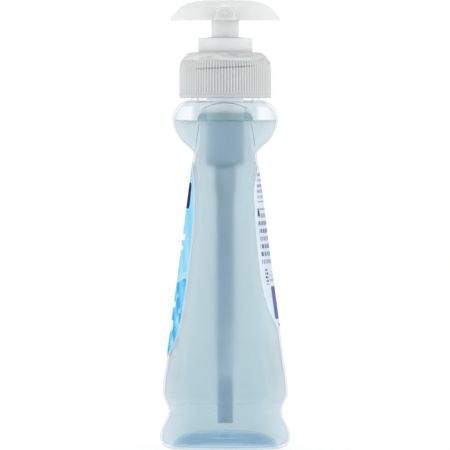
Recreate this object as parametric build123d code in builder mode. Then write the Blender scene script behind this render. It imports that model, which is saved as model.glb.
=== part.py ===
"""Hand soap bottle: a clear blown bottle with a lotion pump in its screw cap.

Millimetres, +Z up. The origin is the centre of the base on the surface it stands on.
X runs across the width, the nozzle points to +X, and the front label faces -Y.
"""

from build123d import *
import os
from math import cos, pi, sin

os.makedirs("parts", exist_ok=True)

# Base of the bottle: a foot ring, a groove and a bulge above it
base_width = 76.0
base_depth = 49.6
foot_height = 4.4
foot_round_height = 0.9
foot_round_inset = 1.3
rest_inset = 3.2
groove_height = 14.0
groove_inset = 3.2
bulge_height = 20.8
bulge_inset = 1.0
base_crown = 10.0
base_corner = 11.0

# Flare of the body from the bulge up to the waist
low_height = 34.5
low_width = 72.2
low_depth = 44.2
low_crown = 9.2
middle_height = 75.0
middle_width = 62.8
middle_depth = 33.4
middle_crown = 6.8
middle_corner = 6.0
high_height = 98.0
high_width = 57.4
high_depth = 27.6
high_crown = 3.8
high_corner = 4.5
waist_height = 110.0
waist_width = 54.6
waist_depth = 24.4
waist_crown = 1.2
waist_corner = 3.5
side_panel_radius = 80.0

# Side spines that run up over the shoulder
spine_height = 118.0
spine_width = 52.8
spine_depth = 22.2
spine_shoulder_height = 124.5
spine_shoulder_width = 50.0
spine_turn_height = 129.0
spine_turn_width = 43.0
spine_top_width = 30.0
spine_top_depth = 19.0

# Front and back lobes of the shoulder
lobe_width = 46.0
lobe_high_width = 41.5
lobe_top_width = 31.0
lobe_depth = 40.2
lobe_root_depth = 23.4
lobe_low_height = 115.4
lobe_low_depth = 30.2
lobe_full_height = 124.8
lobe_high_height = 130.3
lobe_high_depth = 35.6
lobe_top_depth = 29.6
lobe_crown = 5.0
lobe_corner = 7.0

# Walls of the bottle and its pushed-up base
shoulder_height = 131.9
side_wall = 0.7
base_wall = 1.2
punt_height = 6.2
punt_width = 66.0
punt_depth = 39.2
punt_turn_height = 3.4
punt_turn_width = 60.0
punt_turn_depth = 34.6
punt_top_width = 40.0
punt_top_depth = 18.0

# Neck finish with its single-start right-hand thread
neck_root_diameter = 25.2
neck_bore = 21.4
neck_bead_height = 0.9
neck_bead_proud = 0.5
thread_pitch = 4.23
thread_height = 1.05
thread_root_width = 1.7
thread_crest_width = 0.9
neck_thread_turns = 1.15
cap_thread_turns = 1.0
thread_drop = 2.6
thread_clearance = 0.35
thread_bite = 0.25

# Screw cap
cap_height = 17.3
cap_diameter = 34.9
cap_deck = 1.4
cap_face_diameter = 26.6
cap_shoulder_height = 2.7
cap_shoulder_step = 0.5
cap_shoulder_radius = 5.0
cap_rib_count = 96
cap_rib_depth = 0.35
cap_hem = 0.7
cap_skirt_wall = 1.3
cap_sleeve_wall = 1.1
cap_above_shoulder = 1.1
thread_seat_gap = 0.35

# Gasket and the flange of the pump housing, stacked on the neck
gasket_thickness = 0.9
flange_thickness = 1.3
flange_inset = 0.3

# Locking collar, which holds the plunger in and the cap on the pump
collar_diameter = 20.4
collar_height = 5.4
collar_wall = 1.1
collar_deck = 1.1
collar_lip_proud = 0.45
collar_lip_height = 0.6
collar_lip_rise = 0.85
collar_ring_diameter = 13.4
collar_ring_height = 0.25
guide_wall = 0.65
guide_length = 7.6

# Pump housing and dip tube
barrel_diameter = 14.2
barrel_bore = 12.3
barrel_length = 47.4
barrel_corner = 1.6
barrel_floor = 1.2
inlet_bore = 3.0
tail_length = 10.0
tail_diameter = 7.6
tube_diameter = 6.1
tube_bore = 4.6
tube_seat = 8.4
tube_end_height = 9.4

# Valves and spring
inlet_ball_diameter = 4.8
inlet_ball_lift = 1.2
cage_bore = 3.4
cage_top = 1.2
cage_slot = 1.6
cage_rim_diameter = 6.8
cage_rim_height = 1.0
cage_ball_room = 0.4
spring_wire = 0.8
spring_diameter = 8.8
spring_turns = 7.0
outlet_ball_diameter = 3.6
outlet_ball_lift = 1.0

# Plunger
press_stroke = 6.2
piston_height = 6.4
piston_lip = 1.1
piston_waist = 0.5
rod_diameter = 5.0
rod_bore = 2.8
rod_flange_diameter = 7.6
rod_flange = 1.0
rod_length = 14.0
rod_port = 1.6
rod_port_height = 2.2
stem_diameter = 7.9
stem_bore = 5.2
stem_seat_bore = 2.6
stem_seat = 1.2

# Pump head, with the rise of its dome as shares and how far the outline is drawn in at each
head_gap = 6.7
head_height = 7.6
head_length = 34.4
head_width = 41.5
head_wall = 1.2
head_rim_edge = 0.8
dome_profile = ((0.0, 0.0), (0.35, 1.95), (0.69, 4.6), (0.85, 7.0), (0.96, 10.8), (1.0, 14.6))
skirt_diameter = 10.4
skirt_bore = 8.1
skirt_depth = 5.6
nozzle_reach = 30.0
nozzle_height = 5.3
nozzle_root_width = 9.4
nozzle_top_width = 5.8
nozzle_corner = 2.2
outlet_width = 3.4
outlet_height = 1.3
outlet_rise = 2.9
outlet_lip = 2.0
channel_width = 3.6
channel_height = 2.8
channel_corner = 1.0

# Labels
label_thickness = 0.15
label_width = 48.0
label_low = 35.0
label_high = 108.6
label_low_corner = 19.0
label_high_corner = 15.0
back_label_width = 50.0
back_label_low = 45.0
back_label_high = 107.0
back_label_corner = 12.0

# Liquid
liquid_level = 124.2

# Clearances
running_clearance = 0.05
piece_clearance = 0.15
turning_clearance = 0.2
liquid_clearance = 0.1
moving_liquid_clearance = 0.4
label_clearance = 0.03
contact_clearance = 0.02

# Heights worked out from the stack of pieces on the neck
neck_top = (
    shoulder_height
    + cap_above_shoulder
    + cap_height
    - cap_deck
    - turning_clearance
    - flange_thickness
    - gasket_thickness
)
flange_bottom = neck_top + gasket_thickness
flange_top = flange_bottom + flange_thickness
cap_deck_bottom = flange_top + turning_clearance
cap_top = cap_deck_bottom + cap_deck
cap_bottom = cap_top - cap_height
lip_bottom = cap_top + collar_lip_rise
collar_top = cap_top + collar_height
head_bottom = collar_top + head_gap
head_top = head_bottom + head_height
barrel_bottom = collar_top - collar_deck - piece_clearance - barrel_length
barrel_inside = barrel_bottom + barrel_floor
neck_root_radius = neck_root_diameter / 2
thread_crest_radius = neck_root_radius + thread_height
cap_bore_radius = thread_crest_radius + thread_clearance


def body_section(height, width, depth, crown, corner, inset):
    """A rounded outline with two side panels and a crowned front and back."""
    x_edge = width / 2 - inset
    y_edge = depth / 2 - inset
    y_corner = y_edge - crown
    x_corner = x_edge - y_corner**2 / (2 * side_panel_radius)
    with BuildSketch(Plane.XY.offset(height)) as section:
        with BuildLine():
            ThreePointArc((x_corner, -y_corner), (x_edge, 0), (x_corner, y_corner))
            ThreePointArc((x_corner, y_corner), (0, y_edge), (-x_corner, y_corner))
            ThreePointArc((-x_corner, y_corner), (-x_edge, 0), (-x_corner, -y_corner))
            ThreePointArc((-x_corner, -y_corner), (0, -y_edge), (x_corner, -y_corner))
        make_face()
        fillet(section.vertices(), corner - inset)
    return section.sketch


def stacked_form(levels, inset):
    """One smooth loft through outlines at several heights."""
    with BuildPart() as form:
        loft(sections=[body_section(*level, inset) for level in levels])
    return form.part


def spine_form(inset, floor):
    """The whole body without its lobes, drawn in by inset, standing on a floor height."""
    foot_levels = [
        (height, base_width - 2 * drawn_in, base_depth - 2 * drawn_in, base_crown, base_corner)
        for height, drawn_in in (
            (floor, rest_inset),
            (foot_round_height + floor, foot_round_inset),
            (foot_height, 0),
            ((foot_height + groove_height) / 2, groove_inset / 2),
            (groove_height, groove_inset),
            ((groove_height + bulge_height) / 2, (groove_inset + bulge_inset) / 2),
            (bulge_height, bulge_inset),
        )
    ]
    waist = (waist_height, waist_width, waist_depth, waist_crown, waist_corner)
    flare_levels = [
        foot_levels[-1],
        (low_height, low_width, low_depth, low_crown, base_corner),
        (middle_height, middle_width, middle_depth, middle_crown, middle_corner),
        (high_height, high_width, high_depth, high_crown, high_corner),
        waist,
    ]
    shoulder_levels = [
        waist,
        (spine_height, spine_width, spine_depth, waist_crown, waist_corner),
        (spine_shoulder_height - inset, spine_shoulder_width, spine_depth, waist_crown, waist_corner),
        (spine_turn_height - inset, spine_turn_width, spine_depth, waist_crown, waist_corner),
        (shoulder_height - inset, spine_top_width, spine_top_depth, waist_crown, waist_corner),
    ]
    with BuildPart() as form:
        add(stacked_form(foot_levels, inset))
        add(stacked_form(flare_levels, inset))
        add(stacked_form(shoulder_levels, inset))
    return form.part


def lobe_form(inset):
    """The front and back lobes of the shoulder as one solid through the spines."""
    levels = (
        (waist_height, lobe_width, lobe_root_depth),
        (lobe_low_height, lobe_width, lobe_low_depth),
        (lobe_full_height - inset, lobe_width, lobe_depth),
        (lobe_high_height - inset, lobe_high_width, lobe_high_depth),
        (shoulder_height - inset, lobe_top_width, lobe_top_depth),
    )
    return stacked_form([(*level, lobe_crown, lobe_corner) for level in levels], inset)


def oval(height, half_length, half_width):
    """An ellipse at a height, with its first half axis along X."""
    with BuildSketch(Plane.XY.offset(height)) as outline:
        Ellipse(half_length, half_width)
    return outline.sketch


def punt_form(offset):
    """The hollow pushed up into the base, grown by offset."""
    levels = (
        (0, punt_width, punt_depth),
        (punt_turn_height + offset, punt_turn_width, punt_turn_depth),
        (punt_height + offset, punt_top_width, punt_top_depth),
    )
    with BuildPart() as form:
        loft(
            sections=[
                oval(height, width / 2 + offset, depth / 2 + offset)
                for height, width, depth in levels
            ]
        )
    return form.part


def thread_ridge(base_radius, proud, start_height, turns):
    """One helical ridge on a cylinder: proud is positive outwards and negative inwards."""
    bite = thread_bite if proud > 0 else -thread_bite
    sunk_width = thread_root_width + (thread_root_width - thread_crest_width) * bite / proud
    with BuildPart() as ridge:
        with BuildLine() as path:
            Helix(
                pitch=thread_pitch,
                height=turns * thread_pitch,
                radius=base_radius,
                center=(0, 0, start_height),
            )
        start_plane = Plane(origin=path.line @ 0, x_dir=(1, 0, 0), z_dir=path.line % 0)
        with BuildSketch(start_plane):
            Polygon(
                (-bite, -sunk_width / 2),
                (proud, -thread_crest_width / 2),
                (proud, thread_crest_width / 2),
                (-bite, sunk_width / 2),
                align=None,
            )
        sweep(path=path.line, is_frenet=True)
    return ridge.part


def tube(outer_radius, inner_radius, bottom, top):
    """A plain tube between two heights, or a rod where the inner radius is nothing."""
    with BuildPart() as form:
        with BuildSketch(Plane.XY.offset(bottom)):
            Circle(outer_radius)
            if inner_radius > 0:
                Circle(inner_radius, mode=Mode.SUBTRACT)
        extrude(amount=top - bottom)
    return form.part


# Bottle: outer form, neck and thread, less its inside and its pushed-up base
with BuildPart() as cavity:
    add(spine_form(side_wall, base_wall))
    add(lobe_form(side_wall))
    add(punt_form(base_wall), mode=Mode.SUBTRACT)

neck_thread_start = neck_top - thread_drop - neck_thread_turns * thread_pitch
with BuildPart() as bottle:
    add(spine_form(0, 0))
    add(lobe_form(0))
    with BuildSketch(Plane.XY.offset(shoulder_height - side_wall)):
        Circle(neck_root_radius)
    extrude(amount=neck_top - shoulder_height + side_wall)
    with BuildSketch(Plane.XY.offset(shoulder_height - side_wall)):
        Circle(neck_root_radius + neck_bead_proud)
    extrude(amount=neck_bead_height + side_wall)
    add(thread_ridge(neck_root_radius, thread_height, neck_thread_start, neck_thread_turns))
    add(cavity.part, mode=Mode.SUBTRACT)
    with BuildSketch(Plane.XY.offset(spine_shoulder_height)):
        Circle(neck_bore / 2)
    extrude(amount=neck_top - spine_shoulder_height, mode=Mode.SUBTRACT)
    add(punt_form(0), mode=Mode.SUBTRACT)
bottle.part.label = "bottle"
export_step(bottle.part, "parts/bottle.step")

# Liquid: the inside of the bottle up to the fill level, with room for the pump
barrel_radius = barrel_diameter / 2
tail_radius = tail_diameter / 2
tube_radius = tube_diameter / 2
tail_bottom = barrel_bottom - tail_length
with BuildPart() as liquid_soap:
    add(spine_form(side_wall + liquid_clearance, base_wall + liquid_clearance))
    add(lobe_form(side_wall + liquid_clearance))
    add(punt_form(base_wall + liquid_clearance), mode=Mode.SUBTRACT)
    split(bisect_by=Plane.XY.offset(liquid_level), keep=Keep.BOTTOM)
    for radius, bottom in (
        (barrel_radius, barrel_bottom),
        (tail_radius, tail_bottom),
        (tube_radius, tube_end_height),
    ):
        with BuildSketch(Plane.XY.offset(bottom - moving_liquid_clearance)):
            Circle(radius + moving_liquid_clearance)
        extrude(amount=liquid_level - bottom + 2 * moving_liquid_clearance, mode=Mode.SUBTRACT)
liquid_soap.part.label = "liquid_soap"
export_step(liquid_soap.part, "parts/liquid_soap.step")

# Labels: thin skins that lie on the front and the back of the flare
label_outside = spine_form(-label_clearance - label_thickness, 0)
label_inside = spine_form(-label_clearance, 0)
with BuildPart() as front_label:
    with BuildSketch(Plane.XZ) as front_outline:
        with Locations((0, (label_low + label_high) / 2)):
            Rectangle(label_width, label_high - label_low)
        fillet(front_outline.vertices().group_by(Axis.Y)[0], label_low_corner)
        fillet(front_outline.vertices().group_by(Axis.Y)[-1], label_high_corner)
    extrude(amount=base_depth)
    add(label_outside, mode=Mode.INTERSECT)
    add(label_inside, mode=Mode.SUBTRACT)
front_label.part.label = "front_label"
export_step(front_label.part, "parts/front_label.step")

with BuildPart() as back_label:
    with BuildSketch(Plane.XZ) as back_outline:
        with Locations((0, (back_label_low + back_label_high) / 2)):
            Rectangle(back_label_width, back_label_high - back_label_low)
        fillet(back_outline.vertices(), back_label_corner)
    extrude(amount=-base_depth)
    add(label_outside, mode=Mode.INTERSECT)
    add(label_inside, mode=Mode.SUBTRACT)
back_label.part.label = "back_label"
export_step(back_label.part, "parts/back_label.step")

# Screw cap: a ribbed outer skirt round a threaded sleeve, joined by a domed deck
cap_radius = cap_diameter / 2
cap_rib_root = cap_radius - cap_rib_depth
cap_hole_radius = collar_diameter / 2 + turning_clearance
cap_shoulder_bottom = cap_top - cap_shoulder_height
cap_thread_start = neck_thread_start - (thread_root_width + thread_crest_width) / 2 - thread_seat_gap
with BuildPart() as screw_cap:
    with BuildSketch(Plane.XZ):
        with BuildLine():
            Polyline(
                (cap_rib_root - cap_shoulder_step, cap_shoulder_bottom),
                (cap_rib_root, cap_shoulder_bottom),
                (cap_rib_root, cap_bottom),
                (cap_rib_root - cap_skirt_wall, cap_bottom),
                (cap_rib_root - cap_skirt_wall, cap_shoulder_bottom),
                (cap_bore_radius + cap_sleeve_wall, cap_shoulder_bottom),
                (cap_bore_radius + cap_sleeve_wall, cap_bottom + cap_hem),
                (cap_bore_radius, cap_bottom + cap_hem),
                (cap_bore_radius, cap_deck_bottom),
                (cap_hole_radius, cap_deck_bottom),
                (cap_hole_radius, cap_top),
                (cap_face_diameter / 2, cap_top),
            )
            RadiusArc(
                (cap_face_diameter / 2, cap_top),
                (cap_rib_root - cap_shoulder_step, cap_shoulder_bottom),
                cap_shoulder_radius,
            )
        make_face()
    revolve(axis=Axis.Z)
    with BuildSketch(Plane.XY.offset(cap_bottom + cap_hem)):
        with BuildLine():
            Polyline(
                *[
                    (
                        (cap_radius if tip % 2 else cap_rib_root) * cos(tip * pi / cap_rib_count),
                        (cap_radius if tip % 2 else cap_rib_root) * sin(tip * pi / cap_rib_count),
                    )
                    for tip in range(2 * cap_rib_count)
                ],
                close=True,
            )
        make_face()
        Circle(cap_rib_root - cap_rib_depth, mode=Mode.SUBTRACT)
    extrude(amount=cap_shoulder_bottom - cap_bottom - cap_hem)
    add(thread_ridge(cap_bore_radius, -thread_height, cap_thread_start, cap_thread_turns))
screw_cap.part.label = "screw_cap"
export_step(screw_cap.part, "parts/screw_cap.step")

# Gasket between the neck and the flange of the pump housing
flange_radius = neck_root_radius - flange_inset
with BuildPart() as neck_gasket:
    add(tube(flange_radius, barrel_radius + piece_clearance, neck_top, flange_bottom))
neck_gasket.part.label = "neck_gasket"
export_step(neck_gasket.part, "parts/neck_gasket.step")

# Pump housing: barrel, flange, floor with the inlet seat, and the socket of the dip tube
bore_radius = barrel_bore / 2
barrel_top = barrel_bottom + barrel_length
with BuildPart() as pump_housing:
    with BuildSketch(Plane.XZ):
        with BuildLine():
            Polyline(
                (inlet_bore / 2, barrel_inside),
                (bore_radius, barrel_inside),
                (bore_radius, barrel_top),
                (barrel_radius, barrel_top),
                (barrel_radius, flange_top),
                (flange_radius, flange_top),
                (flange_radius, flange_bottom),
                (barrel_radius, flange_bottom),
                (barrel_radius, barrel_bottom + barrel_corner),
            )
            RadiusArc(
                (barrel_radius, barrel_bottom + barrel_corner),
                (barrel_radius - barrel_corner, barrel_bottom),
                barrel_corner,
            )
            Polyline(
                (barrel_radius - barrel_corner, barrel_bottom),
                (tail_radius, barrel_bottom),
                (tail_radius, tail_bottom),
                (tube_radius + running_clearance, tail_bottom),
                (tube_radius + running_clearance, tail_bottom + tube_seat + piece_clearance),
                (inlet_bore / 2, tail_bottom + tube_seat + piece_clearance),
                (inlet_bore / 2, barrel_inside),
            )
        make_face()
    revolve(axis=Axis.Z)
pump_housing.part.label = "pump_housing"
export_step(pump_housing.part, "parts/pump_housing.step")

# Locking collar: a capped ring round the barrel with a guide sleeve for the plunger
collar_radius = collar_diameter / 2
skirt_radius = skirt_diameter / 2
guide_radius = skirt_radius + running_clearance
guide_bottom = collar_top - guide_length
with BuildPart() as collar:
    with BuildSketch(Plane.XZ):
        with BuildLine():
            Polyline(
                (guide_radius, guide_bottom),
                (guide_radius, collar_top + collar_ring_height),
                (collar_ring_diameter / 2, collar_top + collar_ring_height),
                (collar_ring_diameter / 2, collar_top),
                (collar_radius, collar_top),
                (collar_radius, lip_bottom + collar_lip_height),
                (collar_radius + collar_lip_proud, lip_bottom + collar_lip_height),
                (collar_radius + collar_lip_proud, lip_bottom),
                (collar_radius, lip_bottom),
                (collar_radius, flange_top),
                (collar_radius - collar_wall, flange_top),
                (collar_radius - collar_wall, collar_top - collar_deck),
                (guide_radius + guide_wall, collar_top - collar_deck),
                (guide_radius + guide_wall, guide_bottom),
                close=True,
            )
        make_face()
    revolve(axis=Axis.Z)
collar.part.label = "collar"
export_step(collar.part, "parts/collar.step")

# Dip tube, pushed into the socket below the housing
with BuildPart() as dip_tube:
    add(tube(tube_radius, tube_bore / 2, tube_end_height, tail_bottom + tube_seat))
dip_tube.part.label = "dip_tube"
export_step(dip_tube.part, "parts/dip_tube.step")

# Inlet ball on the edge of the hole in the floor of the barrel
inlet_radius = inlet_ball_diameter / 2
inlet_ball_height = barrel_inside + (inlet_radius**2 - (inlet_bore / 2) ** 2) ** 0.5 + contact_clearance
with BuildPart() as inlet_ball:
    with Locations((0, 0, inlet_ball_height)):
        Sphere(inlet_radius)
inlet_ball.part.label = "inlet_ball"
export_step(inlet_ball.part, "parts/inlet_ball.step")

# Spring cage, pressed into the barrel over the ball, with a slotted top as the stop of the ball
cage_radius = bore_radius - running_clearance
cage_roof = inlet_ball_height + inlet_radius + inlet_ball_lift + contact_clearance
cage_top_height = cage_roof + cage_top
with BuildPart() as spring_cage:
    add(tube(cage_radius, inlet_radius + cage_ball_room, barrel_inside + contact_clearance, cage_roof))
    add(tube(cage_radius, cage_bore / 2, cage_roof, cage_top_height))
    add(tube(cage_rim_diameter / 2, cage_bore / 2, cage_top_height, cage_top_height + cage_rim_height))
    with BuildSketch(Plane.XY.offset(cage_roof)):
        Rectangle(2 * inlet_radius + 2 * cage_ball_room, cage_slot)
        Rectangle(cage_slot, 2 * inlet_radius + 2 * cage_ball_room)
    extrude(amount=cage_top + cage_rim_height, mode=Mode.SUBTRACT)
spring_cage.part.label = "spring_cage"
export_step(spring_cage.part, "parts/spring_cage.step")

# Piston seal: two lips that run in the barrel and a waist between them
piston_top = guide_bottom - piece_clearance
piston_bottom = piston_top - piston_height
piston_radius = bore_radius - running_clearance
rod_radius = rod_diameter / 2
with BuildPart() as piston_seal:
    with BuildSketch(Plane.XZ):
        Polygon(
            (rod_radius + running_clearance, piston_bottom),
            (piston_radius, piston_bottom),
            (piston_radius, piston_bottom + piston_lip),
            (piston_radius - piston_waist, piston_bottom + 2 * piston_lip),
            (piston_radius - piston_waist, piston_top - 2 * piston_lip),
            (piston_radius, piston_top - piston_lip),
            (piston_radius, piston_top),
            (rod_radius + running_clearance, piston_top),
            align=None,
        )
    revolve(axis=Axis.Z)
piston_seal.part.label = "piston_seal"
export_step(piston_seal.part, "parts/piston_seal.step")

# Piston rod: a tube through the seal, with a flange that the spring pushes up
rod_flange_top = piston_bottom - contact_clearance
rod_flange_bottom = rod_flange_top - rod_flange
rod_top = rod_flange_top + rod_length
with BuildPart() as piston_rod:
    add(tube(rod_radius, rod_bore / 2, rod_flange_top, rod_top))
    add(tube(rod_flange_diameter / 2, 0, rod_flange_bottom, rod_flange_top))
    with BuildSketch(Plane.YZ):
        with Locations((0, piston_top + rod_port_height)):
            Circle(rod_port / 2)
    extrude(amount=rod_radius, both=True, mode=Mode.SUBTRACT)
piston_rod.part.label = "piston_rod"
export_step(piston_rod.part, "parts/piston_rod.step")

# Return spring between the cage and the flange of the rod
wire_radius = spring_wire / 2
spring_bottom = cage_top_height + contact_clearance
spring_top = rod_flange_bottom - contact_clearance
coil_radius = spring_diameter / 2 - wire_radius
with BuildPart() as return_spring:
    with BuildLine() as coil:
        Helix(
            pitch=(spring_top - spring_bottom - spring_wire) / spring_turns,
            height=spring_top - spring_bottom - spring_wire,
            radius=coil_radius,
            center=(0, 0, spring_bottom + wire_radius),
        )
    with BuildSketch(Plane(origin=coil.line @ 0, z_dir=coil.line % 0)):
        Circle(wire_radius)
    sweep(path=coil.line, is_frenet=True)
return_spring.part.label = "return_spring"
export_step(return_spring.part, "parts/return_spring.step")

# Stem: the tube that the head is pressed on, with the seat of the outlet ball
stem_radius = stem_diameter / 2
stem_bottom = piston_top + contact_clearance
stem_top = head_bottom + outlet_rise - channel_height / 2
ball_seat_top = stem_top - outlet_ball_diameter - outlet_ball_lift
with BuildPart() as stem_tube:
    add(tube(stem_radius, stem_bore / 2, stem_bottom, stem_top))
    add(tube(stem_bore / 2, stem_seat_bore / 2, ball_seat_top - stem_seat, ball_seat_top))
stem_tube.part.label = "stem_tube"
export_step(stem_tube.part, "parts/stem_tube.step")

# Outlet ball on the seat in the stem
outlet_radius = outlet_ball_diameter / 2
outlet_ball_height = ball_seat_top + (outlet_radius**2 - (stem_seat_bore / 2) ** 2) ** 0.5 + contact_clearance
with BuildPart() as outlet_ball:
    with Locations((0, 0, outlet_ball_height)):
        Sphere(outlet_radius)
outlet_ball.part.label = "outlet_ball"
export_step(outlet_ball.part, "parts/outlet_ball.step")


def dome_form(inset):
    """The domed wing of the head, drawn in and down by inset, above its straight rim edge."""
    half_length = head_length / 2 - inset
    half_width = head_width / 2 - inset
    rim_top = head_bottom + head_rim_edge
    rise = head_height - head_rim_edge - inset
    with BuildPart() as form:
        loft(
            sections=[
                oval(rim_top + up * rise, half_length - drawn_in, half_width - drawn_in)
                for up, drawn_in in dome_profile
            ]
        )
        extrude(oval(head_bottom, half_length, half_width), amount=head_rim_edge)
    return form.part


def nozzle_outline(reach, lowest, height):
    """The arched outline of the nozzle in a plane across it."""
    with BuildSketch(Plane.YZ.offset(reach)) as outline:
        Polygon(
            (-nozzle_root_width / 2, lowest),
            (nozzle_root_width / 2, lowest),
            (nozzle_top_width / 2, lowest + height),
            (-nozzle_top_width / 2, lowest + height),
            align=None,
        )
        fillet(outline.vertices().group_by(Axis.Y)[-1], nozzle_corner)
    return outline.sketch


# Pump head: hollow dome, nozzle, and the skirt that runs in the collar
outlet_height_above_base = head_bottom + outlet_rise
skirt_bottom = collar_top - skirt_depth
stem_socket_radius = stem_radius + running_clearance
with BuildPart() as pump_head:
    add(dome_form(0))
    add(dome_form(head_wall), mode=Mode.SUBTRACT)
    extrude(nozzle_outline(0, head_bottom, nozzle_height), amount=nozzle_reach)
    with BuildSketch(Plane.XY.offset(skirt_bottom)):
        Circle(skirt_radius)
    extrude(amount=head_bottom + nozzle_height - skirt_bottom)
    with BuildSketch(Plane.XY.offset(skirt_bottom)):
        Circle(stem_socket_radius)
    extrude(amount=stem_top + running_clearance - skirt_bottom, mode=Mode.SUBTRACT)
    with BuildSketch(Plane.XY.offset(stem_top)):
        Circle(stem_bore / 2)
    extrude(amount=channel_height, mode=Mode.SUBTRACT)
    with BuildSketch(Plane.YZ):
        with Locations((0, outlet_height_above_base)):
            RectangleRounded(channel_width, channel_height, channel_corner)
    extrude(amount=nozzle_reach - outlet_lip, mode=Mode.SUBTRACT)
    with BuildSketch(Plane.YZ.offset(nozzle_reach - outlet_lip)):
        with Locations((0, outlet_height_above_base)):
            Ellipse(outlet_width / 2, outlet_height / 2)
    extrude(amount=outlet_lip, mode=Mode.SUBTRACT)
pump_head.part.label = "pump_head"
export_step(pump_head.part, "parts/pump_head.step")

for piece in (
    bottle,
    liquid_soap,
    front_label,
    back_label,
    screw_cap,
    neck_gasket,
    pump_housing,
    collar,
    dip_tube,
    inlet_ball,
    spring_cage,
    piston_seal,
    piston_rod,
    return_spring,
    stem_tube,
    outlet_ball,
    pump_head,
):
    print(piece.part.label, len(piece.part.solids()), round(piece.part.volume, 1))
print("neck top", round(neck_top, 2), "cap", round(cap_bottom, 2), round(cap_top, 2))
print("collar top", round(collar_top, 2), "head", round(head_bottom, 2), round(head_top, 2))
print("spring bottom", round(spring_bottom, 3), "top", round(spring_top, 3))
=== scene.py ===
"""Looks of the hand soap pump bottle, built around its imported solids.

Shapes are worked out in millimetres and turned to metres as they become meshes. The nozzle points to +X, the
front label faces -Y, and the camera looks along -X at the narrow side.
"""

import math

import bpy
import numpy as np
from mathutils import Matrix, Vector


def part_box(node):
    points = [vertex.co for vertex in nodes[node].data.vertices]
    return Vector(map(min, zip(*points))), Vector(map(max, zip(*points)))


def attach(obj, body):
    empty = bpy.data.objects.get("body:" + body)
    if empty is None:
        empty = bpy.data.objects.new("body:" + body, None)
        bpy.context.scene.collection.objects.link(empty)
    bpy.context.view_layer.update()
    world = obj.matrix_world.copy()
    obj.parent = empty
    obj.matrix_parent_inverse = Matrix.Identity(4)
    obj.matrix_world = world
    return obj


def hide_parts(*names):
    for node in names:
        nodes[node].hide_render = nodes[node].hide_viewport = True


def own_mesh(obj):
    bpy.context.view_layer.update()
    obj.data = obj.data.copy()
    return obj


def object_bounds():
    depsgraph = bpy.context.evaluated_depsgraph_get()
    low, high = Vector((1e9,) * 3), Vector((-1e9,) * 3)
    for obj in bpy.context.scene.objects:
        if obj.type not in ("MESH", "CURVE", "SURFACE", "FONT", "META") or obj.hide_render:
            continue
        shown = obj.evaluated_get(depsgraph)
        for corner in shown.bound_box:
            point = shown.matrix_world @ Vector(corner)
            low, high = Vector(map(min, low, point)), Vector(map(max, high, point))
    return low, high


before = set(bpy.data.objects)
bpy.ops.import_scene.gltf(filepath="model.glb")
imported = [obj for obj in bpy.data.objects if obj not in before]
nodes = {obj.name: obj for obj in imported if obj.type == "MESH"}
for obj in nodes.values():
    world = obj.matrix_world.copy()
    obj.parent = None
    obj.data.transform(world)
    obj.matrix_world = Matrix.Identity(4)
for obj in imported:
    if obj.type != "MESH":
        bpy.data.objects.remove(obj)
cad_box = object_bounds()
scene = bpy.context.scene

MM = 0.001

# Spine of the bottle at each height: half width, half depth, crown of the front, corner radius
SPINE_HEIGHTS = (0, 0.9, 4.4, 14, 20.8, 34.5, 75, 98, 110, 118, 124.5, 129, 131.9)
SPINE_HALF_WIDTHS = (34.8, 36.7, 38, 34.8, 37, 36.1, 31.4, 28.7, 27.3, 26.4, 25, 21.5, 15)
SPINE_HALF_DEPTHS = (21.6, 23.5, 24.8, 21.6, 23.8, 22.1, 16.7, 13.8, 12.2, 11.1, 11.1, 11.1, 9.5)
SPINE_CROWNS = (10, 10, 10, 10, 10, 9.2, 6.8, 3.8, 1.2, 1.2, 1.2, 1.2, 1.2)
SPINE_CORNERS = (11, 11, 11, 11, 11, 11, 6, 4.5, 3.5, 3.5, 3.5, 3.5, 3.5)

# The two lobes of the shoulder, in front and behind
LOBE_HEIGHTS = (108, 111, 114.5, 116.8, 119.1, 124.8, 130.3, 131.9)
LOBE_HALF_WIDTHS = (23, 23, 23, 23, 23, 23, 20.75, 15.5)
LOBE_HALF_DEPTHS = (8.4, 10.9, 14.2, 16.7, 18.3, 20.1, 17.8, 14.8)
LOBE_CROWN = 5.0
LOBE_CORNER = 7.0
SIDE_PANEL_RADIUS = 80.0
CREASE_SOFTNESS = 1.6

# Walls and heel of the bottle, and its pushed-up base from the roof to the rim
SHOULDER_TOP = 131.9
SIDE_WALL = 0.7
BASE_WALL = 0.7
HEEL_HEIGHT = 1.6
HEEL_ROUND = 0.6
PUNT_DROPS = (0, 0.2, 0.55, 1)
PUNT_HEIGHTS = (5.6, 5.3, 3.2, 0)
PUNT_HALF_LENGTHS = (20, 23, 30, 33)
PUNT_HALF_WIDTHS = (9, 11.5, 17.3, 19.6)
GATE_RADIUS = 1.8
GATE_DEPTH = 0.35

# Neck and its thread
NECK_RADIUS = 12.6
NECK_BORE_RADIUS = 10.7
NECK_TOP = 146.5
BEAD_RADIUS = 13.1
BEAD_TOP = 132.8
THREAD_PITCH = 4.23
THREAD_TURNS = 1.15
THREAD_START = 139.04
THREAD_PROUD = 1.05
THREAD_ROOT_HALF = 0.85
THREAD_CREST_HALF = 0.45
THREAD_RUN_OUT = 0.04

# Points round one ring of the bottle
AROUND = 300

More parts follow.
